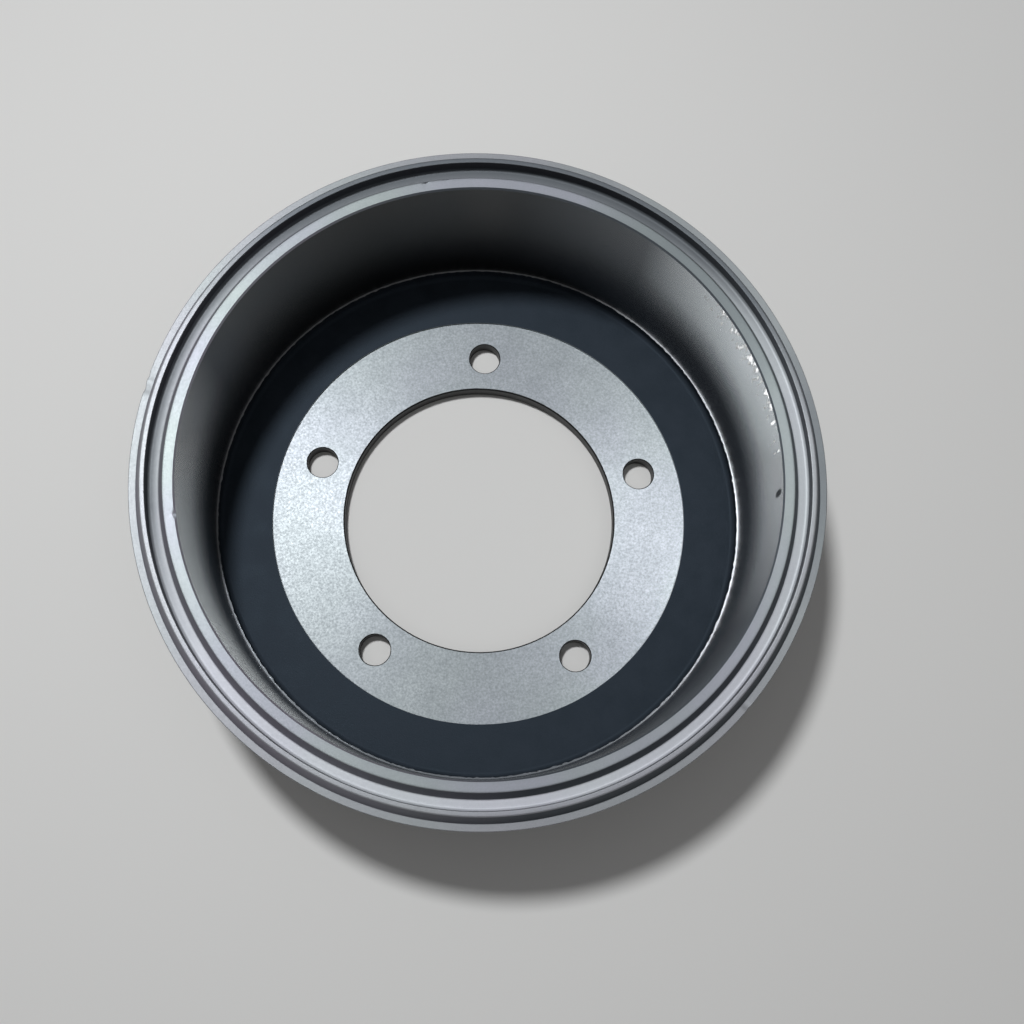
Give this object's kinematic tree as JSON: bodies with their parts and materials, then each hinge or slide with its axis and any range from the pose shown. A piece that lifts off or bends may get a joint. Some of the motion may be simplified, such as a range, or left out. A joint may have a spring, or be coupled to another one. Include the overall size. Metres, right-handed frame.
{
  "type": "brake drum",
  "caption": "Cast iron brake drum: an open cup with a turned braking surface, a stepped and grooved rim, and a flat hub plate with a pilot bore and a ring of stud holes.",
  "frame": {"origin": "centre of the turned wheel face, on the axle line; the drum stands on this face", "axes": "+Z runs along the axle line towards the open end, +Y passes through the centre of one stud hole"},
  "size_m": [0.3719, 0.372, 0.119],
  "materials": {
    "drum_iron": "turned satin on the working faces, dark paint on the cast skin"
  },
  "bodies": {
    "root": {"brake_drum": "drum_iron"}
  },
  "joints": []
}
